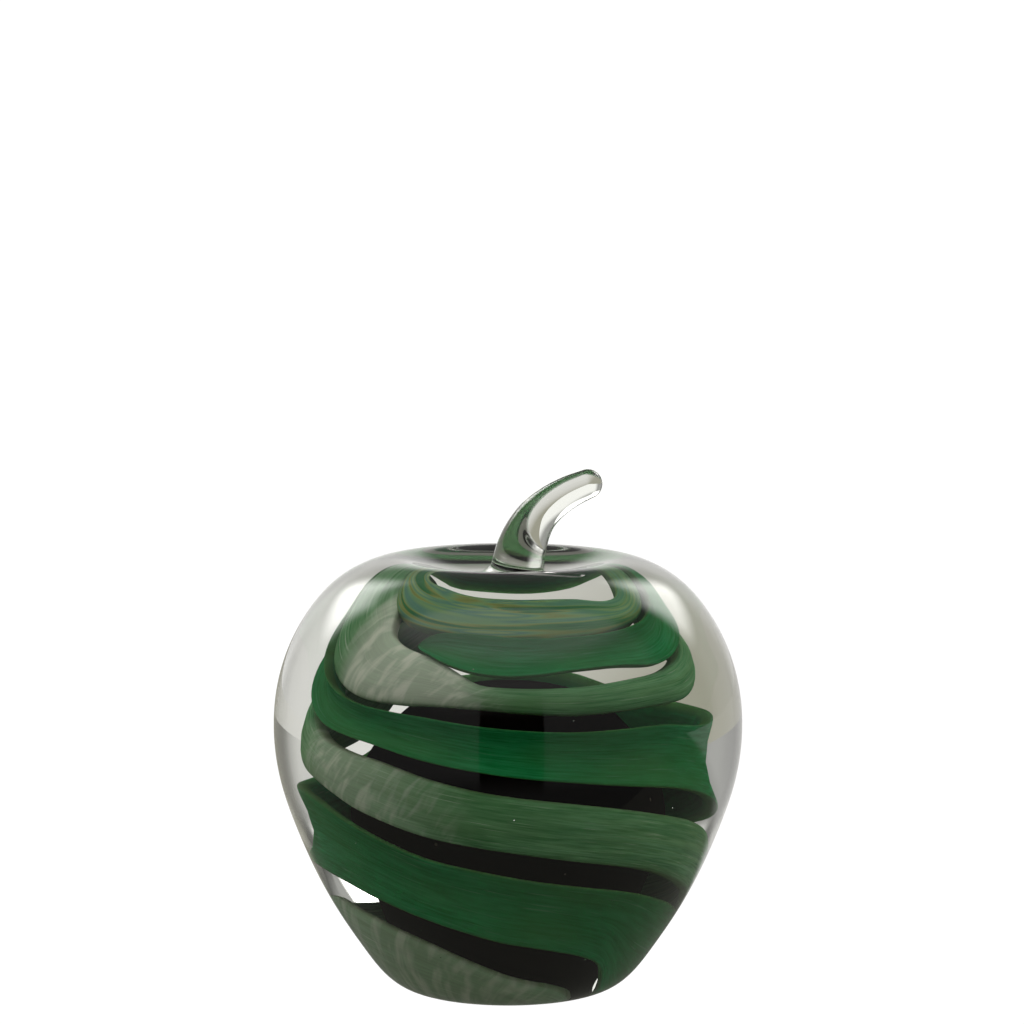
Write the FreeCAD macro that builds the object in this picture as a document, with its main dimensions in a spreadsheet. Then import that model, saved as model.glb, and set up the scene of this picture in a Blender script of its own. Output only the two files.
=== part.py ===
import FreeCAD, Part
import math
import os
import Sketcher

# Solid art glass apple. A black heart is gathered over in clear glass, two coloured ribbons are wound
# round that gather, and a thick clear casing is shaped over them into an apple with a hot-applied stem.
# Frame: +Z up, origin at the middle of the ground base, the front towards -Y, the stem leaning to +X.

SIZES = {
    # casing
    "body_radius": 50.0,
    "crest_height": 93.5,
    "base_radius": 20.3,
    "dimple_depth": 10.7,
    # gather of clear glass that holds the heart and the ribbons
    "casing_wall": 20.0,
    "base_glass": 2.0,
    "dimple_glass": 3.2,
    # black heart
    "heart_layer": 8.0,
    "heart_foot": 2.0,
    "heart_cap": 13.0,
    # ribbons
    "ribbon_cover": 0.4,
    "ribbon_thickness": 3.0,
    "ribbon_bulge": 0.8,
    # stem
    "stem_reach": 16.9,
    "stem_rise": 25.5,
    "stem_foot_radius": 7.2,
    "stem_tip_radius": 3.15,
    "stem_root": 1.5,
}

# Spline poles of each turned outline: share of the radius, share of the height, from the bottom upwards.
CASING_SHARES = ((0.506, 0.011), (0.623, 0.096), (0.781, 0.222), (0.899, 0.363), (0.996, 0.506),
                 (1.008, 0.665), (0.936, 0.805), (0.757, 0.949), (0.503, 1.009), (0.192, 0.995))
DIMPLE_FLOOR_SHARE = 0.179
GATHER_SHARES = ((0.169, 0.0), (0.604, -0.011), (0.881, 0.2), (0.951, 0.393), (1.03, 0.624),
                 (0.925, 0.818), (0.633, 0.997), (0.136, 1.0))
HEART_SHARES = ((0.353, 0.0), (0.653, 0.105), (0.826, 0.402), (1.104, 0.647), (0.759, 0.924), (0.253, 1.0))

# The ribbons run down the gather in half turns, each half turn longer than the one above it. Lengths along
# the gather's outline, from its top, are shares of the whole outline.
WINDING_START_SHARE = 0.058
WINDING_SPAN_SHARE = 0.216
WINDING_GROWTH_SHARE = 1.38
END_TAPER_SHARE = 0.25
RIBBONS = (
    # label, first and last half turn, angle of half turn zero, width as a share of the pitch
    ("light_green_ribbon", -2.6, 3.95, 0.0, 0.66),
    ("dark_green_ribbon", -1.25, 3.95, 180.0, 0.76),
)
SECTIONS_PER_HALF_TURN = 12
ACROSS_SHARES = (-1.0, -0.6, 0.0, 0.6, 1.0)
LONG_DEGREE = 3

# Stem stations: share of the reach, share of the rise, lean in degrees, share of the way from foot to tip radius.
STEM_STATIONS = (
    (0.071, 0.0, 0.0, 0.0),
    (0.077, 0.115, 2.0, 0.185),
    (0.095, 0.229, 5.0, 0.296),
    (0.121, 0.34, 8.0, 0.37),
    (0.154, 0.447, 12.0, 0.432),
    (0.201, 0.551, 19.0, 0.519),
    (0.272, 0.651, 27.0, 0.617),
    (0.367, 0.743, 36.0, 0.716),
    (0.491, 0.824, 46.0, 0.802),
    (0.645, 0.891, 57.0, 0.877),
    (0.817, 0.95, 63.0, 0.938),
    (1.0, 1.0, 66.0, 1.0),
)

CELL_COLUMN = "A"
FULL_TURN = 360.0
HALF_TURN = 180.0
LEAST_CUT_SHARE = 0.001

doc = FreeCAD.newDocument("glass_apple")
sheet = doc.addObject("Spreadsheet::Sheet", "Sizes")
for row, (name, number) in enumerate(SIZES.items(), start=1):
    cell = "%s%d" % (CELL_COLUMN, row)
    sheet.set(cell, "%g" % number)
    sheet.setAlias(cell, name)
doc.recompute()


# Lengths worked out from the sheet. A term is a sum of named sizes, each times a share.

def term(**shares):
    return dict(shares)


def times(share, length):
    return {name: share * part for name, part in length.items()}


def plus(first, second):
    names = list(first) + [name for name in second if name not in first]
    return {name: first.get(name, 0.0) + second.get(name, 0.0) for name in names}


def between(low, high, share):
    return plus(times(1.0 - share, low), times(share, high))


def value(length):
    return float(sum(share * getattr(sheet, name) for name, share in length.items()))


def formula(length):
    return " + ".join("Sizes.%s * %.5f" % (name, share) for name, share in length.items())


FLOOR = term(crest_height=1.0, dimple_depth=-1.0)
GATHER_RADIUS = term(body_radius=1.0, casing_wall=-1.0)
GATHER_LOW = term(base_glass=1.0)
GATHER_HIGH = plus(FLOOR, term(dimple_glass=-1.0))
HEART_RADIUS = plus(GATHER_RADIUS, term(heart_layer=-1.0))
HEART_LOW = plus(GATHER_LOW, term(heart_foot=1.0))
HEART_HIGH = plus(GATHER_HIGH, term(heart_cap=-1.0))
NOTHING = term()


def outline_terms(radius, low, high, shares):
    return [(times(across, radius), between(low, high, up)) for across, up in shares]


def casing_outline():
    sides = outline_terms(term(body_radius=1.0), NOTHING, term(crest_height=1.0), CASING_SHARES)
    dimple = [(term(body_radius=DIMPLE_FLOOR_SHARE), FLOOR), (NOTHING, FLOOR)]
    return [(term(base_radius=1.0), NOTHING)] + sides + dimple


def closed_outline(radius, low, high, shares):
    return [(NOTHING, low)] + outline_terms(radius, low, high, shares) + [(NOTHING, high)]


# Sketches and turned bodies

def origin_plane(body, role):
    return [plane for plane in body.Origin.OriginFeatures if plane.Role == role][0]


def new_sketch(body, name, role):
    sketch = body.newObject("Sketcher::SketchObject", name)
    sketch.AttachmentSupport = [(origin_plane(body, role), "")]
    sketch.MapMode = "FlatFace"
    return sketch


def bind_point(sketch, geometry, point, length, kind, axis):
    """Place a sketch point at a length from the origin, or on the axis where the length is nothing."""
    number = value(length)
    if not length:
        sketch.addConstraint(Sketcher.Constraint("PointOnObject", geometry, point, axis))
        return
    index = sketch.addConstraint(Sketcher.Constraint(kind, -1, 1, geometry, point, number))
    sketch.setExpression("Constraints[%d]" % index, formula(length))


def spline_sketch(body, name, terms):
    """A spline from the bottom of the outline to its top, closed along the axis of turning."""
    sketch = new_sketch(body, name, "XZ_Plane")
    poles = [FreeCAD.Vector(value(across), value(up), 0) for across, up in terms]
    curve = sketch.addGeometry(Part.BSplineCurve(poles, None, None, False, 3, None, False), False)
    for index, (across, up) in enumerate(terms):
        mark = sketch.addGeometry(Part.Circle(poles[index], FreeCAD.Vector(0, 0, 1), 1), True)
        sketch.addConstraint(
            Sketcher.Constraint("InternalAlignment:Sketcher::BSplineControlPoint", mark, 3, curve, index))
        sketch.addConstraint(Sketcher.Constraint("Weight", mark, 1))
        bind_point(sketch, mark, 3, across, "DistanceX", -2)
        bind_point(sketch, mark, 3, up, "DistanceY", -1)
    low = FreeCAD.Vector(0, poles[0].y, 0)
    high = FreeCAD.Vector(0, poles[-1].y, 0)
    axis = sketch.addGeometry(Part.LineSegment(high, low), False)
    sketch.addConstraint(Sketcher.Constraint("Coincident", axis, 1, curve, 2))
    if poles[0].x:
        sketch.addConstraint(Sketcher.Constraint("PointOnObject", axis, 2, -2))
        base = sketch.addGeometry(Part.LineSegment(low, poles[0]), False)
        sketch.addConstraint(Sketcher.Constraint("Coincident", axis, 2, base, 1))
        sketch.addConstraint(Sketcher.Constraint("Coincident", base, 2, curve, 1))
        sketch.addConstraint(Sketcher.Constraint("Horizontal", base))
    else:
        sketch.addConstraint(Sketcher.Constraint("Coincident", axis, 2, curve, 1))
    return sketch


def turned(label, terms):
    body = doc.addObject("PartDesign::Body", label)
    sketch = spline_sketch(body, label + "_outline", terms)
    turn = body.newObject("PartDesign::Revolution", label + "_turn")
    turn.Profile = sketch
    turn.ReferenceAxis = (sketch, ["V_Axis"])
    turn.Angle = FULL_TURN
    doc.recompute()
    return body


def cut(label, base, tool):
    result = doc.addObject("Part::Cut", label)
    result.Base = base
    result.Tool = tool
    doc.recompute()
    return result


# Ribbons

def gather_curve():
    """The gather's outline from its top to its bottom, in the plane of radius and height."""
    terms = closed_outline(GATHER_RADIUS, GATHER_LOW, GATHER_HIGH, GATHER_SHARES)
    poles = [FreeCAD.Vector(value(across), 0, value(up)) for across, up in terms]
    poles.reverse()
    return Part.BSplineCurve(poles, None, None, False, 3, None, False)


def winding_share(half_turns):
    """Share of the outline, from the top, that the ribbons have come down after so many half turns."""
    return WINDING_START_SHARE + WINDING_SPAN_SHARE * WINDING_GROWTH_SHARE ** half_turns


def pitch_share(half_turns):
    return WINDING_SPAN_SHARE * math.log(WINDING_GROWTH_SHARE) * WINDING_GROWTH_SHARE ** half_turns


def taper(half_turns, first, last):
    """Full width along the ribbon, narrowing in a quarter round at both ends."""
    inside = max(min(half_turns - first, last - half_turns), 0.0) / END_TAPER_SHARE
    if inside >= 1.0:
        return 1.0
    return max(math.sqrt(1.0 - (1.0 - inside) ** 2), END_TAPER_SHARE)


def below_surface(curve, length, depth, angle):
    """A point so deep under the gather's surface, at a length down its outline and an angle from the front."""
    parameter = curve.parameterAtDistance(length, curve.FirstParameter)
    point = curve.value(parameter)
    along = curve.tangent(parameter)[0]
    inward = FreeCAD.Vector(along.z, 0, -along.x)
    place = point + inward * depth
    turn = FreeCAD.Rotation(FreeCAD.Vector(0, 0, 1), angle - HALF_TURN / 2)
    return turn.multVec(place)


def ribbon_section(curve, half_turns, first, last, front_angle, width_share):
    """Poles of the ribbon's section at one place: across its outer face, then back across its inner face."""
    length = curve.length()
    cover = value(term(ribbon_cover=1.0))
    narrow = taper(half_turns, first, last)
    half_width = width_share * pitch_share(half_turns) * length * narrow / 2
    middle = winding_share(half_turns) * length
    angle = HALF_TURN * half_turns + front_angle
    outer = []
    inner = []
    for across in ACROSS_SHARES:
        place = middle + across * half_width
        rounding = value(term(ribbon_bulge=narrow * across ** 2))
        thickness = value(term(ribbon_thickness=narrow))
        outer.append(below_surface(curve, place, cover + rounding, angle))
        inner.append(below_surface(curve, place, cover + thickness, angle))
    inner.reverse()
    return outer + inner


def even_knots(count, degree):
    """Evenly spaced knots of a spline that ends at its first and last poles."""
    spans = count - degree
    repeats = [degree + 1] + [1] * (spans - 1) + [degree + 1]
    return repeats, list(range(spans + 1))


def strip(sections, low, high, degree):
    """One long face of a ribbon, through the poles from low to high of every section."""
    poles = [[section[index % len(section)] for index in range(low, high + 1)] for section in sections]
    along_repeats, along_knots = even_knots(len(poles), LONG_DEGREE)
    across_repeats, across_knots = even_knots(high - low + 1, degree)
    surface = Part.BSplineSurface()
    surface.buildFromPolesMultsKnots(poles, along_repeats, across_repeats, along_knots, across_knots,
                                     False, False, LONG_DEGREE, degree)
    return surface


def end_cap(strips, place):
    return Part.Face(Part.Wire(Part.sortEdges([surface.uIso(place).toShape() for surface in strips])[0]))


def ribbon(label, first, last, front_angle, width_share):
    curve = gather_curve()
    count = math.ceil((last - first) * SECTIONS_PER_HALF_TURN)
    step = (last - first) / count
    places = [first + step * index for index in range(count + 1)]
    sections = [ribbon_section(curve, place, first, last, front_angle, width_share) for place in places]
    overhang = 3.0 / (2.0 + math.cos(math.radians(HALF_TURN * step)))
    for section in sections:
        for pole in section:
            pole.x *= overhang
            pole.y *= overhang
    across = len(ACROSS_SHARES)
    strips = [
        strip(sections, 0, across - 1, LONG_DEGREE),
        strip(sections, across - 1, across, 1),
        strip(sections, across, 2 * across - 1, LONG_DEGREE),
        strip(sections, 2 * across - 1, 2 * across, 1),
    ]
    knots = strips[0].getUKnots()
    faces = [surface.toShape() for surface in strips]
    faces += [end_cap(strips, place) for place in (knots[0], knots[-1])]
    shell = Part.Shell(faces)
    shell.sewShape()
    solid = Part.Solid(shell)
    if solid.Volume < 0:
        solid.reverse()
    feature = doc.addObject("Part::Feature", label)
    feature.Shape = solid
    feature.Placement = FreeCAD.Placement()
    return feature


# Stem

def stem_blank():
    """A curved, tapering rod from inside the dimple's floor to a round tip, lofted through leaning circles."""
    body = doc.addObject("PartDesign::Body", "stem_blank")
    low = plus(FLOOR, term(stem_root=-1.0))
    reach = term(stem_reach=1.0)
    high = plus(FLOOR, term(stem_rise=1.0))
    foot = term(stem_foot_radius=1.0)
    tip = term(stem_tip_radius=1.0)
    sections = []
    for index, (out, up, lean, narrowing) in enumerate(STEM_STATIONS):
        sketch = new_sketch(body, "stem_section_%d" % (index + 1), "XY_Plane")
        across = times(out, reach)
        height = between(low, high, up)
        radius = between(foot, tip, narrowing)
        turn = FreeCAD.Rotation(FreeCAD.Vector(0, 1, 0), lean)
        sketch.AttachmentOffset = FreeCAD.Placement(FreeCAD.Vector(value(across), 0, value(height)), turn)
        sketch.setExpression("AttachmentOffset.Base.x", formula(across))
        sketch.setExpression("AttachmentOffset.Base.z", formula(height))
        circle = Part.Circle(FreeCAD.Vector(0, 0, 0), FreeCAD.Vector(0, 0, 1), value(radius))
        ring = sketch.addGeometry(circle, False)
        sketch.addConstraint(Sketcher.Constraint("Coincident", ring, 3, -1, 1))
        size = sketch.addConstraint(Sketcher.Constraint("Radius", ring, value(radius)))
        sketch.setExpression("Constraints[%d]" % size, formula(radius))
        sections.append(sketch)
    rod = body.newObject("PartDesign::AdditiveLoft", "stem_rod")
    rod.Profile = sections[0]
    rod.Sections = sections[1:]
    rod.Ruled = False
    doc.recompute()
    end = body.newObject("PartDesign::AdditiveSphere", "stem_tip")
    end.AttachmentSupport = [(origin_plane(body, "XY_Plane"), "")]
    end.MapMode = "FlatFace"
    end.AttachmentOffset = FreeCAD.Placement(
        FreeCAD.Vector(value(reach), 0, value(high)), FreeCAD.Rotation(FreeCAD.Vector(0, 1, 0), lean))
    end.setExpression("AttachmentOffset.Base.x", formula(reach))
    end.setExpression("AttachmentOffset.Base.z", formula(high))
    end.setExpression("Radius", formula(tip))
    doc.recompute()
    return body


# Assembly

casing_blank = turned("casing_blank", casing_outline())
gather_blank = turned("gather_blank", closed_outline(GATHER_RADIUS, GATHER_LOW, GATHER_HIGH, GATHER_SHARES))
black_heart = turned("black_heart", closed_outline(HEART_RADIUS, HEART_LOW, HEART_HIGH, HEART_SHARES))
ribbons = [ribbon(*entry) for entry in RIBBONS]
held = doc.addObject("Part::Compound", "pieces_in_the_gather")
held.Links = [black_heart] + ribbons
doc.recompute()
clear_gather = cut("clear_gather", gather_blank, held)
clear_casing = cut("clear_casing", casing_blank, gather_blank)
stem = cut("stem", stem_blank(), clear_casing)

SUBPARTS = [clear_casing, clear_gather, black_heart, stem] + ribbons


def check_document():
    for item in doc.Objects:
        if "Invalid" in item.State or "Error" in item.State:
            raise RuntimeError("failed object: %s %s" % (item.Label, item.State))
    for item in SUBPARTS:
        if item.Shape.isNull() or not item.Shape.isValid():
            raise RuntimeError("bad shape: " + item.Label)
        if len(item.Shape.Solids) != 1:
            raise RuntimeError("%s has %d solids" % (item.Label, len(item.Shape.Solids)))


def check_cut(result, blank):
    """A cut has to take some glass away."""
    if result.Shape.Volume > blank.Shape.Volume * (1.0 - LEAST_CUT_SHARE):
        raise RuntimeError(result.Label + " was not cut")


check_document()
check_cut(clear_gather, gather_blank)
check_cut(clear_casing, casing_blank)
os.makedirs("parts", exist_ok=True)
for item in SUBPARTS:
    item.Shape.exportStep("parts/%s.step" % item.Label)
    box = item.Shape.BoundBox
    print("%-20s faces %3d volume %9.1f  x %.1f..%.1f y %.1f..%.1f z %.1f..%.1f" % (
        item.Label, len(item.Shape.Faces), item.Shape.Volume,
        box.XMin, box.XMax, box.YMin, box.YMax, box.ZMin, box.ZMax))
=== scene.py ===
import math

import bmesh
import bpy
from mathutils import Matrix, Vector


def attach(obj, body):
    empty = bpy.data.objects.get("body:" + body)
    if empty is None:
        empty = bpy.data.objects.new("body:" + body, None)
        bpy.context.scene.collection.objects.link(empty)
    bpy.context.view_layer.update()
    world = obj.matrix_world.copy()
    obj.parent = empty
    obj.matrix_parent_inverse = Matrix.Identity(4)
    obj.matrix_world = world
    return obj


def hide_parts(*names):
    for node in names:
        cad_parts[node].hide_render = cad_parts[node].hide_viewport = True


# Solid art glass apple: two coloured glass ribbons wound round a black heart inside one body of clear
# glass, with a curved clear stem. Lengths are in millimetres until a vertex is placed.

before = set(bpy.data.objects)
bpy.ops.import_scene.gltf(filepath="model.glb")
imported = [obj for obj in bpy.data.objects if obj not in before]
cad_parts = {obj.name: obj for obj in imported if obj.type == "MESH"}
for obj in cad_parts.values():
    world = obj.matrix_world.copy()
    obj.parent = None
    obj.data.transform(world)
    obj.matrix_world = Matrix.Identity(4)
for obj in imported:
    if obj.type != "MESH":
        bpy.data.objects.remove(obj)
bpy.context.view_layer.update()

MM = 0.001
HALF_TURN = 180.0
SAME_PLACE = 1e-6

# Outlines from the bottom to the top, as (radius, height) poles of a cubic spline. Another script fitted the
# poles by least squares to profiles read from the photo, and a few of them were changed by hand since.
CASING_POLES = [(20.3, 0.0), (25.25, 0.97), (31.17, 9.01), (39.06, 20.78), (44.96, 33.97), (49.78, 47.26),
                (50.42, 62.23), (46.74, 75.15), (39.45, 85.94), (32.1, 90.94), (23.44, 93.49),
                (15.52, 90.29), (6.89, 88.52), (0.0, 88.52)]
GATHER_POLES = [(0.0, 2.0), (5.07, 2.0), (18.12, 1.15), (26.43, 17.52), (28.53, 32.5), (30.9, 50.42),
                (27.75, 65.48), (19.2, 79.2), (6.0, 78.2), (0.0, 78.0)]
HEART_POLES = [(0.0, 4.0), (7.77, 4.0), (14.37, 10.57), (18.17, 29.17), (24.29, 44.5), (17.0, 57.5),
               (10.0, 60.8), (0.0, 60.8)]
OUTLINE_STEPS = 14
GATHER_STEPS = 40
TURN_STEPS = 192

# Stem: place to the right, height, lean in degrees and radius of each ring, from the dimple to the tip.
STEM_RINGS = [(1.85, 89.9, 7.0, 6.0), (2.1, 91.0, 8.5, 5.7), (2.6, 93.4, 12.0, 5.45),
              (3.4, 96.2, 19.0, 5.1), (4.6, 98.9, 27.0, 4.7), (6.2, 101.4, 36.0, 4.3),
              (8.3, 103.5, 46.0, 3.95), (10.9, 105.4, 57.0, 3.65), (13.8, 107.0, 63.0, 3.4),
              (16.9, 108.3, 66.0, 3.15)]
# The dimple's floor is open inside the foot's radius, and the fillet's rings round off the joint from there
# up to the stem.
FOOT_FILLET = [(0.5, 88.98, 0.0, 8.4), (1.0, 88.98, 1.0, 7.5), (1.4, 89.2, 3.0, 6.85), (1.65, 89.5, 5.0, 6.4)]
FOOT_RADIUS = 9.4
# A narrow flat band inside the ground base keeps its rim crisp under smooth shading.
RIM_BAND = 0.5
STEPS_BETWEEN_RINGS = 4
TIP_STEPS = 10

# Ribbons. They run down the gather in half turns. Half turn zero is at the front for the light ribbon and at
# the back for the dark one. Each edge is (half turn, millimetres down the gather from its top). The edges'
# first numbers came from another script, which traced lines of sight through the glass to points picked in
# the photo. They were smoothed and then moved until the picture matched.
# The light ribbon starts on the crown round a clear opening, is laid on broad at the left and makes room
# at the front where the dark one starts.
LIGHT_UPPER = ((-2.53, 17.4), (-2.5, 16.2), (-2.45, 15.1), (-2.39, 14.1), (-2.3, 12.6), (-2.15, 11.2),
               (-2.0, 10.7), (-1.85, 11.6), (-1.72, 14.0), (-1.61, 17.6), (-1.53, 19.0), (-1.44, 18.0),
               (-1.33, 14.2), (-1.2, 10.6), (-1.0, 9.0), (-0.8, 10.6), (-0.65, 14.6), (-0.5, 18.6),
               (-0.42, 19.6), (-0.37, 23.0), (-0.3, 24.6), (-0.2, 25.6), (-0.14, 27.2), (-0.07, 29.8),
               (-0.02, 30.3), (0.14, 30.8), (0.29, 31.0), (0.41, 31.6), (0.6, 32.2), (0.8, 32.4),
               (1.0, 32.6), (1.13, 34.8), (1.3, 39.0), (1.5, 43.0), (1.62, 44.2), (1.71, 45.0),
               (1.83, 47.4), (1.94, 49.3), (2.03, 50.5), (2.13, 51.7), (2.25, 53.2), (2.4, 55.4),
               (2.52, 57.2), (2.79, 60.9), (3.0, 66.2), (3.17, 70.6), (3.46, 72.8), (3.54, 74.8),
               (3.67, 78.6), (3.78, 82.3), (3.85, 85.3), (3.98, 91.0), (4.05, 93.3), (4.15, 95.5),
               (4.3, 99.5))
LIGHT_LOWER = ((-2.53, 17.8), (-2.5, 18.9), (-2.45, 19.8), (-2.37, 20.2), (-2.0, 20.6), (-1.73, 21.7),
               (-1.57, 22.8), (-1.0, 26.8), (-0.6, 33.2), (-0.41, 35.2), (-0.25, 34.8), (-0.18, 34.3),
               (-0.07, 34.2), (0.04, 34.9), (0.14, 35.6), (0.26, 36.0), (0.37, 36.4), (0.5, 37.5),
               (0.62, 37.2), (0.8, 34.7), (0.9, 35.3), (1.0, 35.9), (1.08, 36.9), (1.14, 41.2),
               (1.2, 46.2), (1.3, 48.2), (1.48, 50.2), (1.57, 52.0), (1.64, 53.9), (1.71, 55.5),
               (1.83, 58.3), (1.93, 60.0), (2.03, 61.5), (2.14, 63.2), (2.27, 65.2), (2.41, 67.8),
               (3.0, 80.0), (3.3, 90.0), (3.5, 97.0), (3.8, 104.0), (4.05, 106.0), (4.2, 105.0),
               (4.3, 100.5))
DARK_UPPER = ((-1.26, 23.6), (-1.24, 22.6), (-1.2, 21.5), (-1.16, 20.9), (-1.06, 20.7), (-0.98, 21.2),
              (-0.85, 21.8), (-0.73, 22.4), (-0.57, 23.4), (-0.3, 25.0), (0.0, 26.6), (0.2, 29.8),
              (0.4, 34.0), (0.59, 36.0), (0.75, 36.3), (0.82, 36.5), (0.93, 37.4), (1.03, 38.1),
              (1.14, 38.7), (1.26, 39.1), (1.36, 39.6), (1.52, 42.0), (1.65, 42.7), (1.78, 43.4),
              (1.86, 43.2), (1.92, 42.3), (1.97, 42.0), (2.03, 42.4), (2.08, 42.9), (2.13, 46.2),
              (2.17, 48.8), (2.24, 50.6), (2.42, 51.9), (2.52, 53.2), (2.6, 55.5), (2.7, 58.7),
              (2.82, 62.4), (2.93, 64.7), (3.04, 66.9), (3.15, 68.6), (3.28, 70.7), (3.37, 72.7),
              (3.6, 78.0), (3.9, 90.0), (4.0, 96.0))
DARK_LOWER = ((-1.26, 24.0), (-1.24, 24.8), (-1.2, 25.8), (-1.14, 27.2), (-1.07, 28.3), (-1.0, 28.7),
              (-0.93, 28.5), (-0.85, 28.1), (-0.73, 28.6), (-0.59, 30.6), (-0.4, 30.9), (0.0, 31.6),
              (0.2, 34.6), (0.4, 39.0), (0.53, 41.1), (0.61, 41.6), (0.71, 42.3), (0.83, 44.1),
              (0.94, 45.6), (1.03, 46.8), (1.13, 47.9), (1.25, 49.2), (1.39, 50.8), (1.5, 52.4),
              (2.0, 59.5), (2.2, 62.6), (2.45, 66.9), (2.58, 69.6), (2.69, 72.8), (2.8, 76.3),
              (2.86, 78.1), (2.98, 81.4), (3.04, 82.5), (3.11, 83.8), (3.2, 85.9), (3.27, 88.6),
              (3.32, 93.0), (3.38, 98.0), (3.45, 101.0), (3.6, 102.0), (3.8, 102.5), (4.0, 97.0))
# A ribbon's finish along its winding, as (half turn, finish): -1 is the crown, with green bands and a painted
# rainbow of amber, teal and cream among them, 0 is plain, and 1 is where it was pulled out broad and pale.
LIGHT_FINISH = ((-2.53, -1.0), (-2.1, -1.0), (-1.9, -0.85), (-1.5, -0.45), (-1.38, 0.1), (-1.2, 0.35),
                (-0.8, 0.35), (-0.6, 0.05), (-0.5, 0.1), (-0.42, 0.8), (-0.3, 1.0), (-0.12, 0.9),
                (-0.05, 0.2), (0.05, 0.0), (1.4, 0.0), (1.55, 0.6), (1.75, 0.4), (1.95, 0.0),
                (3.3, 0.0), (3.5, 0.4), (4.3, 0.45))
DARK_FINISH = ((-1.3, 0.0), (4.0, 0.0))
# The front is the angle of half turn zero. The depths say how far the outer face lies under the gather's
# surface: the light ribbon is slightly round across, the dark one hollow. The seed sets how edges wander.
LIGHT_RIBBON = {"front": 0.0, "upper": LIGHT_UPPER, "lower": LIGHT_LOWER, "finish": LIGHT_FINISH,
                "middle_depth": 0.5, "edge_depth": 1.2, "seed": 0.4}
DARK_RIBBON = {"front": 180.0, "upper": DARK_UPPER, "lower": DARK_LOWER, "finish": DARK_FINISH,
               "middle_depth": 2.2, "edge_depth": -0.3, "seed": 1.9}
FLOW_WIDTH = 5.0
RIBBON_THICKNESS = 2.8
RIBBON_ROUNDNESS = 0.45
SECTION_POINTS = 32
SECTIONS_PER_HALF_TURN = 54
# Edges laid by hand wander by a slow and a quick wave, and a ribbon's narrow end is thin.
SLOW_WAVE = 7.3
QUICK_WAVE = 17.9
QUICK_SHARE = 0.6
QUICK_SHIFT = 2.1
WANDER_SHARE = 0.012
FULL_HALF_WIDTH = 2.0
THINNEST_SHARE = 0.12


def keep(bm, name):
    """The bmesh as a smooth piece at the origin."""
    bmesh.ops.recalc_face_normals(bm, faces=bm.faces[:])
    mesh = bpy.data.meshes.new(name)
    bm.to_mesh(mesh)
    bm.free()
    mesh.shade_smooth()
    piece = bpy.data.objects.new(name, mesh)
    bpy.context.scene.collection.objects.link(piece)
    return piece


def spline_mesh(poles, steps):
    """The cubic spline that an outline's poles shape, as a chain of edges."""
    curve = bpy.data.curves.new("outline", "CURVE")
    curve.dimensions = "3D"
    spline = curve.splines.new("NURBS")
    spline.points.add(len(poles) - 1)
    for point, (radius, height) in zip(spline.points, poles):
        point.co = (radius * MM, 0.0, height * MM, 1.0)
    spline.order_u = 4
    spline.use_endpoint_u = True
    spline.resolution_u = steps
    holder = bpy.data.objects.new("outline", curve)
    mesh = bpy.data.meshes.new_from_object(holder)
    bpy.data.objects.remove(holder)
    bpy.data.curves.remove(curve)
    return mesh


def turned(mesh):
    """An outline's edges spun once round the upright axis, with its poles closed."""
    bm = bmesh.new()
    bm.from_mesh(mesh)
    bmesh.ops.spin(bm, geom=bm.verts[:] + bm.edges[:], cent=(0, 0, 0), axis=(0, 0, 1),
                   angle=math.tau, steps=TURN_STEPS, use_merge=True)
    bmesh.ops.remove_doubles(bm, verts=bm.verts[:], dist=SAME_PLACE)
    return bm


# Clear body and stem

def between_rings(rings, steps):
    """The rings with more in between, on a smooth curve through them."""
    ends = [rings[0]] + list(rings) + [rings[-1]]
    full = []
    for a, b, c, d in zip(ends, ends[1:], ends[2:], ends[3:]):
        for step in range(steps):
            t = step / steps
            full.append(tuple(
                0.5 * (2 * q + (r - p) * t + (2 * p - 5 * q + 4 * r - s) * t ** 2
                       + (3 * q - p - 3 * r + s) * t ** 3)
                for p, q, r, s in zip(a, b, c, d)))
    return full + [rings[-1]]


def ring_place(across, up, lean, radius):
    """Where a ring of radius 1 goes: how far right, how high, leaning by so many degrees, how wide."""
    return (Matrix.Translation((across * MM, 0.0, up * MM)) @ Matrix.Rotation(math.radians(lean), 4, "Y")
            @ Matrix.Diagonal((radius * MM, radius * MM, radius * MM, 1.0)))


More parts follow.
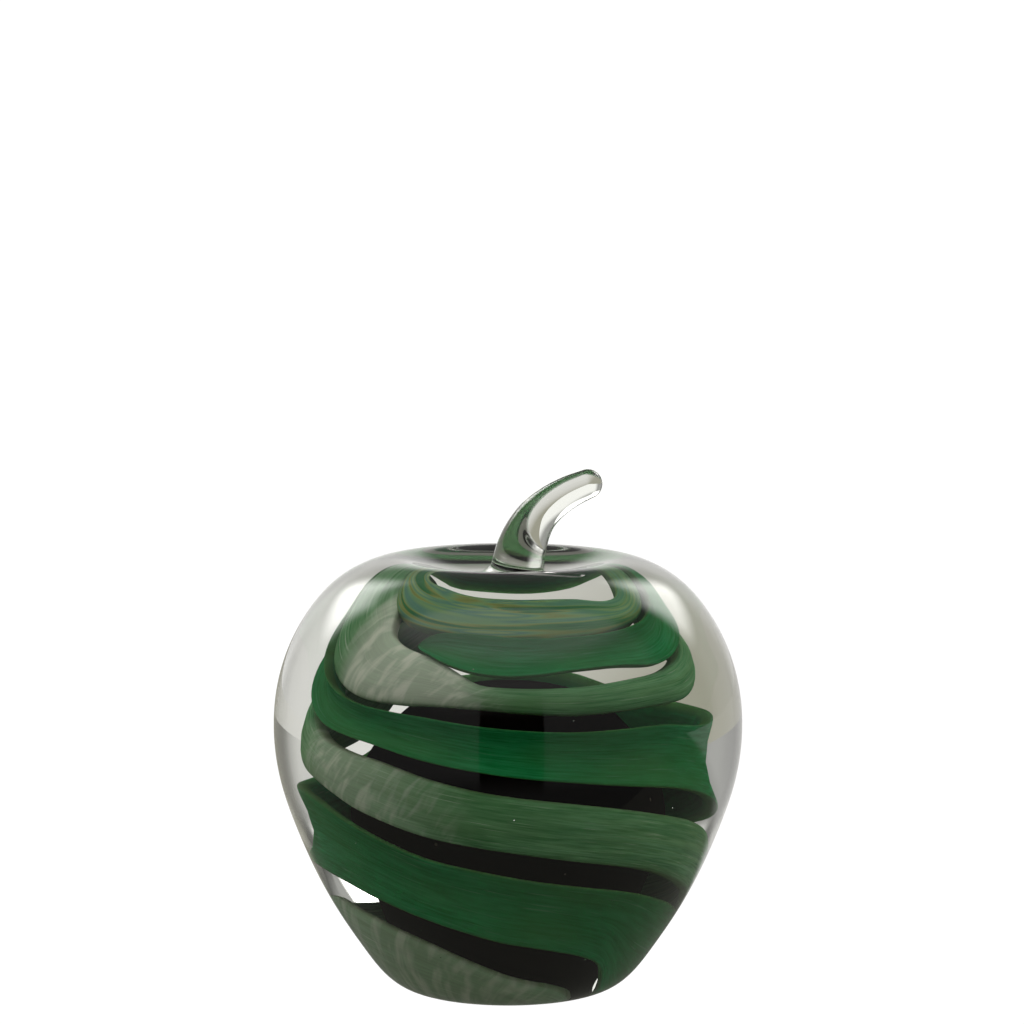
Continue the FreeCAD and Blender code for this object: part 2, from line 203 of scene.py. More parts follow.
def make_clear_body():
    """The apple and its stem in one skin, because the two are fused hot: the body is spun up to the
    dimple, and the dimple's open ring is drawn up into the stem."""
    outline = bmesh.new()
    outline.from_mesh(spline_mesh(CASING_POLES, OUTLINE_STEPS))
    outline.verts.ensure_lookup_table()
    floor_ring = [v for v in outline.verts if v.co.x < FOOT_RADIUS * MM and v.co.z > MM]
    bmesh.ops.delete(outline, geom=floor_ring, context="VERTS")
    edge = min(outline.verts, key=lambda v: v.co.z)
    near = bmesh.ops.extrude_vert_indiv(outline, verts=[edge])["verts"]
    bmesh.ops.translate(outline, verts=near, vec=(-RIM_BAND * MM, 0.0, 0.0))
    middle = bmesh.ops.extrude_vert_indiv(outline, verts=near)["verts"]
    for vert in middle:
        vert.co.x = 0.0
    chain = bpy.data.meshes.new("outline")
    outline.to_mesh(chain)
    outline.free()

    bm = turned(chain)
    ring = [e for e in bm.edges if e.is_boundary]
    first = ring[0].verts[0].co
    here = ring_place(0.0, first.z / MM, 0.0, math.hypot(first.x, first.y) / MM)
    tip = STEM_RINGS[-1]
    lean = math.radians(tip[2])
    rings = between_rings([*FOOT_FILLET, *STEM_RINGS], STEPS_BETWEEN_RINGS)
    for step in range(1, TIP_STEPS):
        angle = 0.5 * math.pi * step / TIP_STEPS
        rise = tip[3] * math.sin(angle)
        rings.append((tip[0] + rise * math.sin(lean), tip[1] + rise * math.cos(lean), tip[2],
                      tip[3] * math.cos(angle)))
    for numbers in rings:
        there = ring_place(*numbers)
        drawn = bmesh.ops.extrude_edge_only(bm, edges=ring)["geom"]
        moved = [g for g in drawn if isinstance(g, bmesh.types.BMVert)]
        ring = [g for g in drawn if isinstance(g, bmesh.types.BMEdge)]
        bmesh.ops.transform(bm, matrix=there @ here.inverted(), verts=moved)
        here = there
    end = Vector((tip[0] + tip[3] * math.sin(lean), 0.0, tip[1] + tip[3] * math.cos(lean))) * MM
    drawn = bmesh.ops.extrude_edge_only(bm, edges=ring)["geom"]
    moved = [g for g in drawn if isinstance(g, bmesh.types.BMVert)]
    bmesh.ops.pointmerge(bm, verts=moved, merge_co=end)
    return keep(bm, "clear_body")


# Heart

def make_heart():
    """The black heart, spun from its outline."""
    return keep(turned(spline_mesh(HEART_POLES, OUTLINE_STEPS)), "black_glass_heart")


# Ribbons

class Gather:
    """The clear gather's outline, read by the length down it from the top."""

    def __init__(self):
        points = [Vector((v.co.x, v.co.z)) / MM for v in spline_mesh(GATHER_POLES, GATHER_STEPS).vertices]
        points.reverse()
        self.points = points
        self.lengths = [0.0]
        for a, b in zip(points, points[1:]):
            self.lengths.append(self.lengths[-1] + (b - a).length)
        self.length = self.lengths[-1]

    def place(self, length):
        """Point and inward direction at a length down the outline."""
        low, high = 0, len(self.lengths) - 1
        while high - low > 1:
            half = (low + high) // 2
            if self.lengths[half] <= length:
                low = half
            else:
                high = half
        a, b = self.points[low], self.points[high]
        along = (b - a).normalized()
        share = (length - self.lengths[low]) / (self.lengths[high] - self.lengths[low])
        return a.lerp(b, share), Vector((along.y, -along.x))


def read_edge(edge, half_turns):
    """The edge's place at so many half turns, on a smooth curve through its points."""
    place = next((i for i in range(1, len(edge)) if half_turns <= edge[i][0]), len(edge) - 1)
    a, b = edge[place - 1], edge[place]
    before, after = edge[max(place - 2, 0)], edge[min(place + 1, len(edge) - 1)]
    gap = b[0] - a[0]
    t = min(max((half_turns - a[0]) / gap, 0.0), 1.0)
    rise_a = (b[1] - before[1]) / (b[0] - before[0]) * gap
    rise_b = (after[1] - a[1]) / (after[0] - a[0]) * gap
    return (a[1] * (2 * t ** 3 - 3 * t ** 2 + 1) + rise_a * (t ** 3 - 2 * t ** 2 + t)
            + b[1] * (3 * t ** 2 - 2 * t ** 3) + rise_b * (t ** 3 - t ** 2))


def rounded(angle, power):
    """Cosine and sine pulled out towards a square with round corners."""
    c, s = math.cos(angle), math.sin(angle)
    return math.copysign(abs(c) ** power, c), math.copysign(abs(s) ** power, s)


def section(gather, half_turns, ribbon):
    """Corners of a ribbon's section at one place, each with its place across, and the gather's radius."""
    upper = read_edge(ribbon["upper"], half_turns)
    lower = read_edge(ribbon["lower"], half_turns)
    seed = ribbon["seed"]
    wander = (math.sin(SLOW_WAVE * half_turns + seed)
              + QUICK_SHARE * math.sin(QUICK_WAVE * half_turns + QUICK_SHIFT * seed))
    half_width = 0.5 * (lower - upper) * (1.0 + WANDER_SHARE * wander)
    middle = 0.5 * (upper + lower)
    thick = min(1.0, max(THINNEST_SHARE, half_width / FULL_HALF_WIDTH))
    curve = ribbon["edge_depth"] - ribbon["middle_depth"]
    turn = math.radians(HALF_TURN * half_turns + ribbon["front"] - HALF_TURN / 2)
    corners = []
    for index in range(SECTION_POINTS):
        across, deep = rounded(math.tau * index / SECTION_POINTS, RIBBON_ROUNDNESS)
        point, inward = gather.place(middle + across * half_width)
        outer = ribbon["middle_depth"] + curve * across ** 2 * thick
        place = point + inward * (outer + RIBBON_THICKNESS * thick * 0.5 * (1.0 + deep))
        corners.append((Vector((place.x * math.cos(turn), place.x * math.sin(turn), place.y)) * MM,
                        across * FLOW_WIDTH))
    return corners, gather.place(middle)[0].x


def make_ribbon(name, ribbon):
    """One ring of vertices drawn along the winding. The layer "flow" holds the millimetres along, the
    place across on a ribbon of even width, which the streaks follow, and the finish there."""
    gather = Gather()
    first, last = ribbon["upper"][0][0], ribbon["upper"][-1][0]
    count = math.ceil((last - first) * SECTIONS_PER_HALF_TURN)
    step = (last - first) / count
    bm = bmesh.new()
    flow = bm.verts.layers.float_vector.new("flow")
    ring = bmesh.ops.create_circle(bm, cap_ends=True, segments=SECTION_POINTS, radius=MM)["verts"]
    order = {vert: index for index, vert in enumerate(ring)}
    edges = [e for e in bm.edges if e.is_boundary]
    along = 0.0
    for number in range(count + 1):
        half_turns = first + step * number
        corners, radius = section(gather, half_turns, ribbon)
        if number:
            drawn = bmesh.ops.extrude_edge_only(bm, edges=edges)["geom"]
            new_edges = [g for g in drawn if isinstance(g, bmesh.types.BMEdge)]
            new_order = {}
            for vert in (g for g in drawn if isinstance(g, bmesh.types.BMVert)):
                back = next(e.other_vert(vert) for e in vert.link_edges if e.other_vert(vert) in order)
                new_order[vert] = order[back]
            order, edges = new_order, new_edges
            along += radius * math.radians(HALF_TURN * step)
        finish = read_edge(ribbon["finish"], half_turns)
        for vert, index in order.items():
            vert.co, across = corners[index]
            vert[flow] = (along, across, finish)
    bmesh.ops.holes_fill(bm, edges=edges, sides=0)
    return keep(bm, name)


# Bubbles caught in the glass: angle from the front, radius, height and size.
SEED_BUBBLES = [(2.0, 31.2, 44.2, 0.13), (-58.0, 31.5, 38.0, 0.12), (64.0, 31.0, 44.6, 0.14),
                (-34.0, 29.8, 19.5, 0.11), (22.0, 31.5, 62.0, 0.1), (-12.0, 30.8, 71.5, 0.13),
                (-25.0, 33.0, 12.5, 0.12), (38.0, 32.0, 26.0, 0.11), (35.0, 25.6, 12.6, 0.22)]


def make_bubbles():
    """All the small bubbles as one piece."""
    bm = bmesh.new()
    for angle, radius, height, size in SEED_BUBBLES:
        turn = math.radians(angle)
        spot = Vector((radius * math.sin(turn), -radius * math.cos(turn), height)) * MM
        bmesh.ops.create_icosphere(bm, subdivisions=2, radius=size * MM, matrix=Matrix.Translation(spot))
    return keep(bm, "seed_bubbles")


# Finishes. The streaks, how far each effect covers a ribbon's streaked colour, the painted amber rainbow
# fringe along a ribbon's edges, the heart's two blacks and its few specks, and the glass.
FINE_STREAK_SHARE = 0.62
EDGE_BEGINS_SHARE = 0.93
EDGE_FULL_SHARE = 0.995
TINT_COVER = 0.6
THREAD_COVER = 0.55
CLOUD_COVER = 0.58
STROKE_COVER = 0.85
CROWN_STREAK_COVER = 0.2
# The amber along a ribbon's edges is a painted rainbow fringe.
PAINTED_FRINGE_COVER = 0.35
PAINTED_AMBER_FRINGE = (0.13, 0.11, 0.03)
BLACK = (0.002, 0.0015, 0.001)
BROWN_BLACK = (0.012, 0.007, 0.005)
SPECK_GREY = (0.16, 0.13, 0.1)
SPECK_EDGE = 0.16
SPECK_MIDDLE = 0.08
SPOTS_WITHOUT_SPECK_SHARE = 0.93
GLASS_INDEX = 1.5


def fresh_material(name):
    """A new material with its node tree and its shader."""
    material = bpy.data.materials.new(name)
    material.use_nodes = True
    return material, material.node_tree, material.node_tree.nodes["Principled BSDF"]


def streak_group():
    """Streaks drawn out along a ribbon. Streak covers the surface, Line picks out thin pale threads, Tone
    drifts slowly, the band mask is for the crown's broad green bands and the painted rainbow among them, and
    Stroke for the short strokes on a broad place. Edge, Broad and Crown say where the ribbon's two edges, its
    broad places and its crown are. All of these are masks from 0 to 1, and Relief is the height for a bump."""
    group = bpy.data.node_groups.new("drawn_streaks", "ShaderNodeTree")
    face = group.interface
    face.new_socket("Offset", in_out="INPUT", socket_type="NodeSocketFloat")
    face.new_socket("Fineness", in_out="INPUT", socket_type="NodeSocketFloat")
    for name in ("Streak", "Line", "Tone", "Relief", "Edge", "Broad", "Crown", "BandAndRainbow", "Stroke"):
        face.new_socket(name, in_out="OUTPUT", socket_type="NodeSocketFloat")
    nodes, links = group.nodes, group.links
    enter = nodes.new("NodeGroupInput")
    leave = nodes.new("NodeGroupOutput")
    flow = nodes.new("ShaderNodeAttribute")
    flow.attribute_name = "flow"
    apart = nodes.new("ShaderNodeSeparateXYZ")
    links.new(flow.outputs["Vector"], apart.inputs[0])

    def stretched(along_scale, across_scale, detail, distortion, lean=0.0):
        """Noise drawn out along the ribbon, leaning forward as it goes across."""
        along = nodes.new("ShaderNodeMath")
        along.operation = "MULTIPLY_ADD"
        along.inputs[1].default_value = along_scale
        links.new(apart.outputs["X"], along.inputs[0])
        links.new(enter.outputs["Offset"], along.inputs[2])
        if lean:
            leaning = nodes.new("ShaderNodeMath")
            leaning.operation = "MULTIPLY_ADD"
            leaning.inputs[1].default_value = lean
            links.new(apart.outputs["Y"], leaning.inputs[0])
            links.new(along.outputs[0], leaning.inputs[2])
            along = leaning
        fine = nodes.new("ShaderNodeMath")
        fine.operation = "MULTIPLY"
        fine.inputs[1].default_value = across_scale
        links.new(enter.outputs["Fineness"], fine.inputs[0])
        across = nodes.new("ShaderNodeMath")
        across.operation = "MULTIPLY"
        links.new(apart.outputs["Y"], across.inputs[0])
        links.new(fine.outputs[0], across.inputs[1])
        place = nodes.new("ShaderNodeCombineXYZ")
        links.new(along.outputs[0], place.inputs["X"])
        links.new(across.outputs[0], place.inputs["Y"])
        noise = nodes.new("ShaderNodeTexNoise")
        noise.inputs["Scale"].default_value = 1.0
        noise.inputs["Detail"].default_value = detail
        noise.inputs["Roughness"].default_value = 0.6
        noise.inputs["Distortion"].default_value = distortion
        links.new(place.outputs[0], noise.inputs["Vector"])
        return noise

    def ramp(source, low, high):
        """0 at low, 1 at high."""
        reach = nodes.new("ShaderNodeMapRange")
        reach.inputs["From Min"].default_value = low
        reach.inputs["From Max"].default_value = high
        links.new(source, reach.inputs["Value"])
        return reach.outputs["Result"]

    broad = stretched(along_scale=0.045, across_scale=0.75, detail=2.0, distortion=0.5)
    fine = stretched(along_scale=0.12, across_scale=3.3, detail=5.0, distortion=0.35)
    threads = stretched(along_scale=0.07, across_scale=3.4, detail=2.0, distortion=0.2)
    drift = stretched(along_scale=0.03, across_scale=0.12, detail=1.0, distortion=0.0)
    green_and_rainbow_bands = stretched(along_scale=0.028, across_scale=0.42, detail=1.5, distortion=0.6)
    strokes = stretched(along_scale=0.42, across_scale=0.16, detail=2.0, distortion=0.3, lean=0.3)
    mix = nodes.new("ShaderNodeMix")
    mix.inputs["Factor"].default_value = FINE_STREAK_SHARE
    links.new(broad.outputs["Fac"], mix.inputs["A"])
    links.new(fine.outputs["Fac"], mix.inputs["B"])
    links.new(ramp(mix.outputs["Result"], low=0.39, high=0.61), leave.inputs["Streak"])
    links.new(ramp(threads.outputs["Fac"], low=0.62, high=0.72), leave.inputs["Line"])
    links.new(ramp(drift.outputs["Fac"], low=0.35, high=0.65), leave.inputs["Tone"])
    links.new(mix.outputs["Result"], leave.inputs["Relief"])
    links.new(ramp(green_and_rainbow_bands.outputs["Fac"], low=0.3, high=0.7), leave.inputs["BandAndRainbow"])
    links.new(ramp(strokes.outputs["Fac"], low=0.46, high=0.66), leave.inputs["Stroke"])
    off_middle = nodes.new("ShaderNodeMath")
    off_middle.operation = "ABSOLUTE"
    links.new(apart.outputs["Y"], off_middle.inputs[0])
    edge = ramp(off_middle.outputs[0], low=EDGE_BEGINS_SHARE * FLOW_WIDTH, high=EDGE_FULL_SHARE * FLOW_WIDTH)
    links.new(edge, leave.inputs["Edge"])
    links.new(ramp(apart.outputs["Z"], low=0.0, high=1.0), leave.inputs["Broad"])
    links.new(ramp(apart.outputs["Z"], low=0.0, high=-1.0), leave.inputs["Crown"])
    return group


def mixed(tree, factor, first, second):
    """Two colours mixed by a mask. A colour is three numbers or a socket."""
    mix = tree.nodes.new("ShaderNodeMix")
    mix.data_type = "RGBA"
    tree.links.new(factor, mix.inputs["Factor"])
    for socket, colour in ((mix.inputs["A"], first), (mix.inputs["B"], second)):
        if isinstance(colour, tuple):
            socket.default_value = (*colour, 1.0)
        else:
            tree.links.new(colour, socket)
    return mix.outputs["Result"]


def ribbon_material(name, streaks, colours, offset, fineness):
    """Coloured glass rod drawn out under clear glass: streaked colour, a painted amber rainbow fringe along
    its edges and no gloss of its own, because it has no surface to the air."""
    material, tree, shader = fresh_material(name)
    group = tree.nodes.new("ShaderNodeGroup")
    group.node_tree = streaks
    group.inputs["Offset"].default_value = offset
    group.inputs["Fineness"].default_value = fineness

    def times(first, second):
        node = tree.nodes.new("ShaderNodeMath")
        node.operation = "MULTIPLY"
        for socket, given in zip(node.inputs, (first, second)):
            if isinstance(given, float):
                socket.default_value = given
            else:
                tree.links.new(given, socket)
        return node.outputs[0]

    colour = mixed(tree, group.outputs["Streak"], colours["deep"], colours["pale"])
    colour = mixed(tree, times(group.outputs["Tone"], TINT_COVER), colour, colours["tint"])
    colour = mixed(tree, times(group.outputs["Line"], THREAD_COVER), colour, colours["thread"])
    if "cloud" in colours:
        colour = mixed(tree, times(group.outputs["Broad"], CLOUD_COVER), colour, colours["cloud"])
        drawn = times(group.outputs["Broad"], group.outputs["Stroke"])
        colour = mixed(tree, times(drawn, STROKE_COVER), colour, colours["cloud"])
        # The crown's ramp: green bands with a painted rainbow of amber, teal and cream among them.
        ramp = tree.nodes.new("ShaderNodeValToRGB")
        stops = ramp.color_ramp.elements
        while len(stops) < len(colours["crown"]):
            stops.new(0.5)
        for stop, (place, shade) in zip(stops, colours["crown"]):
            stop.position = place
            stop.color = (*shade, 1.0)
        tree.links.new(group.outputs["BandAndRainbow"], ramp.inputs["Fac"])
        streaked = times(group.outputs["Streak"], CROWN_STREAK_COVER)
        crown = mixed(tree, streaked, ramp.outputs["Color"], colours["pale"])
        colour = mixed(tree, group.outputs["Crown"], colour, crown)
    # Painted amber rainbow fringe along the ribbon's edges.
    colour = mixed(tree, times(group.outputs["Edge"], PAINTED_FRINGE_COVER), colour, PAINTED_AMBER_FRINGE)
    tree.links.new(colour, shader.inputs["Base Color"])
    shader.inputs["Roughness"].default_value = 0.5
    shader.inputs["Specular IOR Level"].default_value = 0.0
    bump = tree.nodes.new("ShaderNodeBump")
    bump.inputs["Strength"].default_value = 0.25
    bump.inputs["Distance"].default_value = 0.0003
    tree.links.new(group.outputs["Relief"], bump.inputs["Height"])
    tree.links.new(bump.outputs["Normal"], shader.inputs["Normal"])
    return material


def black_glass():
    """Black glass with a brown cast, a few grey specks and faint clouds."""
    material, tree, shader = fresh_material("black_glass")
    nodes, links = tree.nodes, tree.links
    place = nodes.new("ShaderNodeTexCoord")
    clouds = nodes.new("ShaderNodeTexNoise")
    clouds.inputs["Scale"].default_value = 90.0
    clouds.inputs["Detail"].default_value = 4.0
    specks = nodes.new("ShaderNodeTexVoronoi")
    specks.inputs["Scale"].default_value = 420.0
    links.new(place.outputs["Object"], clouds.inputs["Vector"])
    links.new(place.outputs["Object"], specks.inputs["Vector"])
    small = nodes.new("ShaderNodeMapRange")
    small.inputs["From Min"].default_value = SPECK_EDGE
    small.inputs["From Max"].default_value = SPECK_MIDDLE
    links.new(specks.outputs["Distance"], small.inputs["Value"])
    rare = nodes.new("ShaderNodeSeparateColor")
    links.new(specks.outputs["Color"], rare.inputs[0])
    few = nodes.new("ShaderNodeMath")
    few.operation = "GREATER_THAN"
    few.inputs[1].default_value = SPOTS_WITHOUT_SPECK_SHARE
    links.new(rare.outputs[0], few.inputs[0])
    dots = nodes.new("ShaderNodeMath")
    dots.operation = "MULTIPLY"
    links.new(small.outputs[0], dots.inputs[0])
    links.new(few.outputs[0], dots.inputs[1])
    colour = mixed(tree, clouds.outputs["Fac"], BLACK, BROWN_BLACK)
    colour = mixed(tree, dots.outputs[0], colour, SPECK_GREY)
    links.new(colour, shader.inputs["Base Color"])
    shader.inputs["Roughness"].default_value = 0.35
    shader.inputs["Specular IOR Level"].default_value = 0.0
    return material


def clear_glass():
    """Clear glass with a trace of straw colour, fire polished, with the faint waves of hand shaping."""
    material, tree, shader = fresh_material("clear_glass")
    shader.inputs["Base Color"].default_value = (0.975, 0.985, 0.945, 1.0)
    shader.inputs["Roughness"].default_value = 0.0
    shader.inputs["IOR"].default_value = GLASS_INDEX
    shader.inputs["Transmission Weight"].default_value = 1.0
    place = tree.nodes.new("ShaderNodeTexCoord")
    waves = tree.nodes.new("ShaderNodeTexNoise")
    waves.inputs["Scale"].default_value = 45.0
    waves.inputs["Detail"].default_value = 1.0
    tree.links.new(place.outputs["Object"], waves.inputs["Vector"])
    bump = tree.nodes.new("ShaderNodeBump")
    bump.inputs["Strength"].default_value = 0.3
    bump.inputs["Distance"].default_value = 0.0002
    tree.links.new(waves.outputs["Fac"], bump.inputs["Height"])
    tree.links.new(bump.outputs["Normal"], shader.inputs["Normal"])
    return material


def bubble_glass():
    """The skin of a bubble of air inside the glass."""
    material, _, shader = fresh_material("bubble")
    shader.inputs["Base Color"].default_value = (1.0, 1.0, 1.0, 1.0)
    shader.inputs["Roughness"].default_value = 0.02
    shader.inputs["IOR"].default_value = 1.0 / GLASS_INDEX
    shader.inputs["Transmission Weight"].default_value = 1.0
    return material


def table_material():
    """A white table that glows in the glass with painted light and shade: painted shade up to just behind the
    apple, and beyond that painted shade on the left and painted light on the right. The camera sees it burnt
    out to white, with a trace of shadow, as the photograph's is."""
    material, tree, shader = fresh_material("white_table")
    nodes, links = tree.nodes, tree.links
    place = nodes.new("ShaderNodeTexCoord")
    apart = nodes.new("ShaderNodeSeparateXYZ")
    links.new(place.outputs["Object"], apart.inputs[0])

    def grade(axis, low, high):
        """0 at low, 1 at high, in millimetres along an axis, smooth between."""
        node = nodes.new("ShaderNodeMapRange")
        node.interpolation_type = "SMOOTHSTEP"
        node.inputs["From Min"].default_value = low * MM
        node.inputs["From Max"].default_value = high * MM
        links.new(apart.outputs[axis], node.inputs["Value"])
        return node.outputs["Result"]

    # The glow in the glass: painted shade on the left passing to painted light on the right, and painted
    # shade in front.
    colour = mixed(tree, grade("X", *PAINTED_SHADE_TO_LIGHT_ACROSS), TABLE_PAINTED_SHADE_LEFT, TABLE_PAINTED_LIGHT_RIGHT)
    colour = mixed(tree, grade("Y", *SHADE_TO_LIGHT), TABLE_SHADE, colour)
    seen = nodes.new("ShaderNodeLightPath").outputs["Is Camera Ray"]
    colour = mixed(tree, seen, colour, (BACKDROP_LIGHT, BACKDROP_LIGHT, BACKDROP_LIGHT))
    glow = nodes.new("ShaderNodeEmission")
    links.new(colour, glow.inputs["Color"])
    shader.inputs["Base Color"].default_value = (*TABLE_PAINT, 1.0)
    shader.inputs["Roughness"].default_value = 0.8
    blend = nodes.new("ShaderNodeMixShader")
    blend.inputs["Fac"].default_value = TABLE_GLOW_SHARE
    links.new(shader.outputs[0], blend.inputs[1])
    links.new(glow.outputs[0], blend.inputs[2])
    links.new(blend.outputs[0], nodes["Material Output"].inputs["Surface"])
    return material


# Pieces

clear_body = make_clear_body()
heart = make_heart()
light_ribbon = make_ribbon("light_green_winding", LIGHT_RIBBON)
dark_ribbon = make_ribbon("dark_green_winding", DARK_RIBBON)
bubbles = make_bubbles()

streaks = streak_group()
# On the crown, the amber, teal and cream stops are a painted rainbow among the green bands.
SAGE = {"deep": (0.05, 0.225, 0.07), "pale": (0.2, 0.46, 0.22), "tint": (0.11, 0.26, 0.09),
        "thread": (0.5, 0.64, 0.46), "cloud": (0.88, 0.92, 0.78),
        "crown": ((0.0, (0.01, 0.13, 0.06)), (0.3, (0.06, 0.24, 0.08)), (0.42, (0.34, 0.36, 0.1)),
                  (0.52, (0.26, 0.46, 0.2)), (0.64, (0.13, 0.31, 0.24)), (0.74, (0.3, 0.48, 0.22)),
                  (1.0, (0.55, 0.62, 0.28)))}
EMERALD = {"deep": (0.002, 0.175, 0.038), "pale": (0.026, 0.285, 0.095), "tint": (0.06, 0.21, 0.06),
           "thread": (0.12, 0.3, 0.16)}
FINISHES = (
    (clear_body, clear_glass(), "clear_glass"),
    (heart, black_glass(), "black_glass"),
    (light_ribbon, ribbon_material("sage_glass", streaks, SAGE, offset=3.7, fineness=1.0),
     "light_green_glass"),
    (dark_ribbon, ribbon_material("emerald_glass", streaks, EMERALD, offset=41.2, fineness=0.8),
     "dark_green_glass"),
    (bubbles, bubble_glass(), "clear_glass"),
)
for piece, material, slot in FINISHES:
    piece.data.materials.append(material)
    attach(piece, "root")
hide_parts("clear_casing", "clear_gather", "stem")
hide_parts("black_heart")
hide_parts("light_green_ribbon")
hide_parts("dark_green_ribbon")


# Table: how far it lies under the base, how far its front edge is from the apple's middle, half its width,
# and its colours: its paint, and the painted light and shade that it glows with in the glass, with the places
# across and behind where one passes into the other.
TABLE_DROP = 0.2
TABLE_FRONT = 78.0
TABLE_HALF = 900.0
TABLE_PAINT = (0.5, 0.5, 0.48)
# Painted shade on the left, painted light on the right and painted shade in front, as the table glows in the
# glass.
TABLE_PAINTED_SHADE_LEFT = (0.35, 0.34, 0.275)
TABLE_PAINTED_LIGHT_RIGHT = (0.78, 0.77, 0.75)
TABLE_SHADE = (0.15, 0.15, 0.13)
TABLE_GLOW_SHARE = 0.93
PAINTED_SHADE_TO_LIGHT_ACROSS = (-90.0, 60.0)
SHADE_TO_LIGHT = (48.0, 90.0)

# The room's light: how bright each part of it is.
WALL_LIGHT = 0.2
LOW_LIGHT = 0.1
LEFT_REAR_LIGHT = 0.35
RIGHT_REAR_LIGHT = 0.66
REAR_LIGHT = 1.0
RING_LIGHT = 0.25
TOP_LIGHT = 0.65
LAMP_LIGHT = 4.4
BACKDROP_LIGHT = 1.1
CAMERA_SHADE = 0.97
ROOM_COLOUR = (1.0, 0.995, 0.97, 1.0)
# Where each part is, in degrees to the side of the camera or above the horizon. Two angles are where it
# begins and ends to change, four are where it begins, is full, fades and is gone.
CAMERA_SIDE = (-14.5, -13.5, 17.0, 18.0)
CAMERA_HEIGHT = (-28.0, -16.0, 24.0, 32.0)
CORNER_SIDE = (112.0, 130.0, 145.0, 160.0)
REAR_SIDE = (145.0, 160.0)
REAR_TOP = (12.0, 26.0)
LAMP_SIDE = (118.0, 132.0, 150.0, 164.0)
LAMP_HEIGHT = (16.0, 26.0, 36.0, 46.0)
RING_SIDE = (85.0, 100.0)
RING_HEIGHT = (14.0, 28.0)
TOP_SIDE = (85.0, 105.0)
TOP_HEIGHT = (42.0, 54.0)
LOW_SIDE = (92.0, 110.0)
LOW_HEIGHT = (-24.0, -14.0)


def make_table():
    """A white table top whose front edge is close to the apple."""
    bm = bmesh.new()
    depth = TABLE_HALF + TABLE_FRONT
    bmesh.ops.create_grid(bm, x_segments=1, y_segments=1, size=0.5)
    bmesh.ops.scale(bm, vec=(2 * TABLE_HALF * MM, depth * MM, 1.0), verts=bm.verts[:])
    bmesh.ops.translate(bm, vec=(0.0, (TABLE_HALF - TABLE_FRONT) / 2 * MM, -TABLE_DROP * MM),
                        verts=bm.verts[:])
    table = keep(bm, "table")
    table.data.materials.append(table_material())
    return table


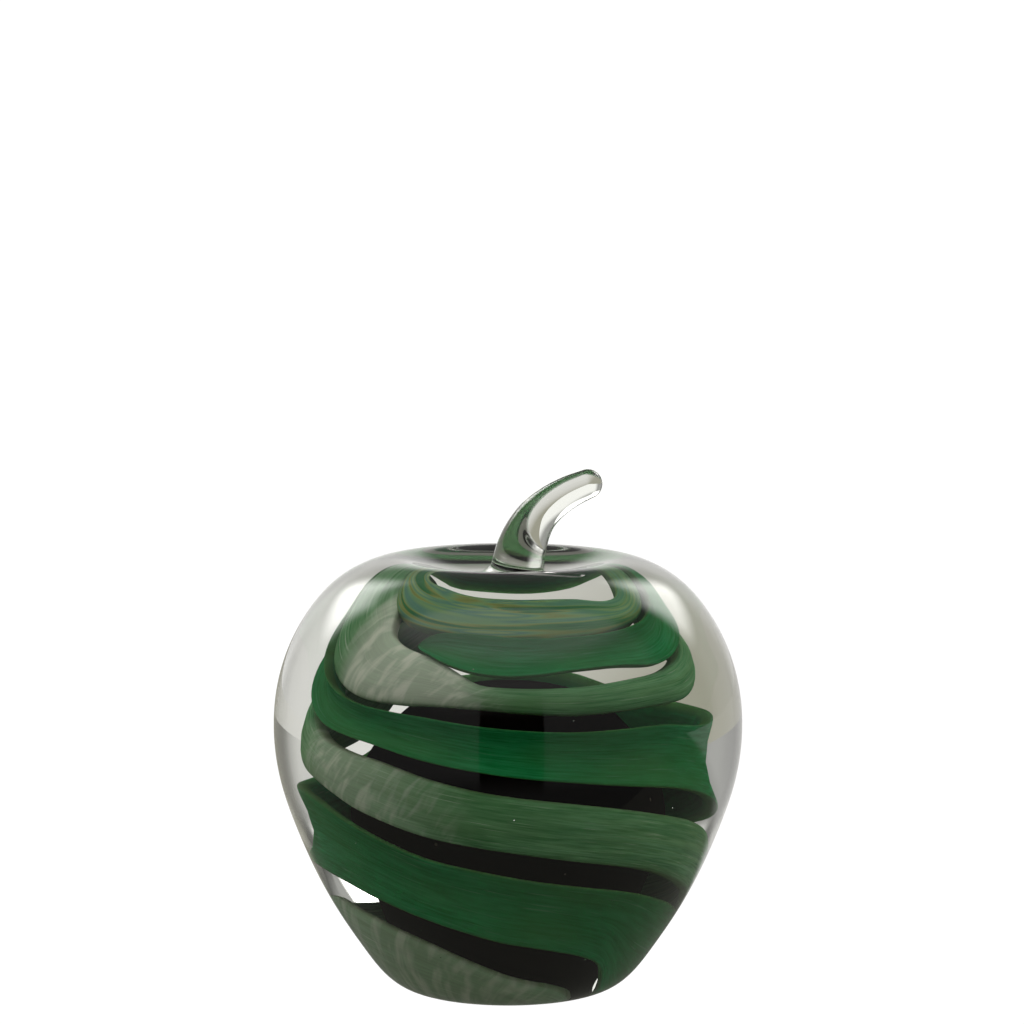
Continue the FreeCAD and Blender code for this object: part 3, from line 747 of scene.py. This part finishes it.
def make_studio_light():
    """The room, as light from all round: dim walls that are brighter behind, least so on the left, a lamp
    high in each rear corner, soft light from the front and overhead, less light from low in front, and a
    dark gap for the camera. The camera itself sees plain white."""
    world = bpy.data.worlds.new("studio")
    bpy.context.scene.world = world
    world.use_nodes = True
    nodes, links = world.node_tree.nodes, world.node_tree.links
    background = nodes["Background"]
    place = nodes.new("ShaderNodeTexCoord")
    apart = nodes.new("ShaderNodeSeparateXYZ")
    links.new(place.outputs["Generated"], apart.inputs[0])

    def math_node(operation, first, second=None, third=None):
        node = nodes.new("ShaderNodeMath")
        node.operation = operation
        for socket, given in zip(node.inputs, (first, second, third)):
            if given is None:
                continue
            if isinstance(given, (int, float)):
                socket.default_value = given
            else:
                links.new(given, socket)
        return node.outputs[0]

    def step_up(given, low, high):
        """0 below low, 1 above high, smooth between."""
        node = nodes.new("ShaderNodeMapRange")
        node.interpolation_type = "SMOOTHSTEP"
        node.inputs["From Min"].default_value = low
        node.inputs["From Max"].default_value = high
        links.new(given, node.inputs["Value"])
        return node.outputs["Result"]

    def step_down(given, low, high):
        """1 below low, 0 above high, smooth between."""
        return math_node("SUBTRACT", 1.0, step_up(given, low, high))

    def both(first, second):
        return math_node("MULTIPLY", first, second)

    def between(given, begins, full, fades, gone):
        """1 from full to fades, 0 outside begins and gone."""
        return both(step_up(given, begins, full), step_down(given, fades, gone))

    # Angle from the camera's side, positive to the right, in degrees, and height above the horizon.
    front = math_node("MULTIPLY", apart.outputs["Y"], -1.0)
    side = math_node("MULTIPLY", math_node("ARCTAN2", apart.outputs["X"], front), HALF_TURN / math.pi)
    height = math_node("MULTIPLY", math_node("ARCSINE", apart.outputs["Z"]), HALF_TURN / math.pi)
    away = math_node("ABSOLUTE", side)
    other_side = math_node("MULTIPLY", side, -1.0)

    gap = both(between(side, *CAMERA_SIDE), between(height, *CAMERA_HEIGHT))
    low_front = both(step_down(height, *LOW_HEIGHT), step_down(away, *LOW_SIDE))
    behind = step_down(height, *REAR_TOP)
    left_rear = both(between(other_side, *CORNER_SIDE), behind)
    right_rear = both(between(side, *CORNER_SIDE), behind)
    rear = both(step_up(away, *REAR_SIDE), behind)
    ring = both(step_up(height, *RING_HEIGHT), step_down(away, *RING_SIDE))
    top = both(step_up(height, *TOP_HEIGHT), step_down(away, *TOP_SIDE))
    lamps = both(between(height, *LAMP_HEIGHT), between(away, *LAMP_SIDE))

    walls = math_node("MULTIPLY_ADD", low_front, LOW_LIGHT - WALL_LIGHT, WALL_LIGHT)
    walls = both(walls, math_node("MULTIPLY_ADD", gap, -CAMERA_SHADE, 1.0))
    for where, light in ((left_rear, LEFT_REAR_LIGHT - WALL_LIGHT),
                         (right_rear, RIGHT_REAR_LIGHT - WALL_LIGHT),
                         (rear, REAR_LIGHT - WALL_LIGHT), (ring, RING_LIGHT), (top, TOP_LIGHT),
                         (lamps, LAMP_LIGHT)):
        walls = math_node("MULTIPLY_ADD", where, light, walls)
    seen = nodes.new("ShaderNodeLightPath").outputs["Is Camera Ray"]
    backdrop = math_node("MULTIPLY", seen, BACKDROP_LIGHT)
    strength = math_node("ADD", both(walls, math_node("SUBTRACT", 1.0, seen)), backdrop)
    links.new(strength, background.inputs["Strength"])
    background.inputs["Color"].default_value = ROOM_COLOUR


# Camera: a long lens about a metre away, ten degrees above the horizon, aimed over the apple so that it
# stands low in the picture. PIXEL is the millimetres that one point of the picture covers at the apple, and
# the names that end in PIXELS count such points.
PIXEL = 0.21409
DISTANCE_PIXELS = 4700.0
CENTRE_UP_PIXELS = 215.0
AIM_RIGHT_PIXELS = 4.0
AIM_UP_PIXELS = 261.3
PICTURE_PIXELS = 1024.0
ELEVATION = 10.0
SENSOR = 36.0
NEAREST_SEEN = 0.05
FARTHEST_SEEN = 50.0


def make_camera():
    elevation = math.radians(ELEVATION)
    ahead = Vector((0.0, math.cos(elevation), -math.sin(elevation)))
    up = Vector((0.0, math.sin(elevation), math.cos(elevation)))
    right = Vector((1.0, 0.0, 0.0))
    centre = Vector((0.0, 0.0, CENTRE_UP_PIXELS)) * PIXEL * MM
    place = centre - ahead * DISTANCE_PIXELS * PIXEL * MM
    aim = centre + (right * AIM_RIGHT_PIXELS + up * AIM_UP_PIXELS) * PIXEL * MM
    data = bpy.data.cameras.new("camera")
    data.sensor_width = SENSOR
    data.lens = SENSOR * DISTANCE_PIXELS / PICTURE_PIXELS
    data.clip_start = NEAREST_SEEN
    data.clip_end = FARTHEST_SEEN
    camera = bpy.data.objects.new("camera", data)
    bpy.context.scene.collection.objects.link(camera)
    camera.location = place
    camera.rotation_mode = "QUATERNION"
    camera.rotation_quaternion = (aim - place).to_track_quat("-Z", "Y")
    bpy.context.scene.camera = camera


make_table()
make_studio_light()
make_camera()
scene = bpy.context.scene
scene.view_settings.view_transform = "Standard"
scene.cycles.max_bounces = 24
scene.cycles.transmission_bounces = 24
scene.cycles.diffuse_bounces = 4
scene.cycles.glossy_bounces = 12
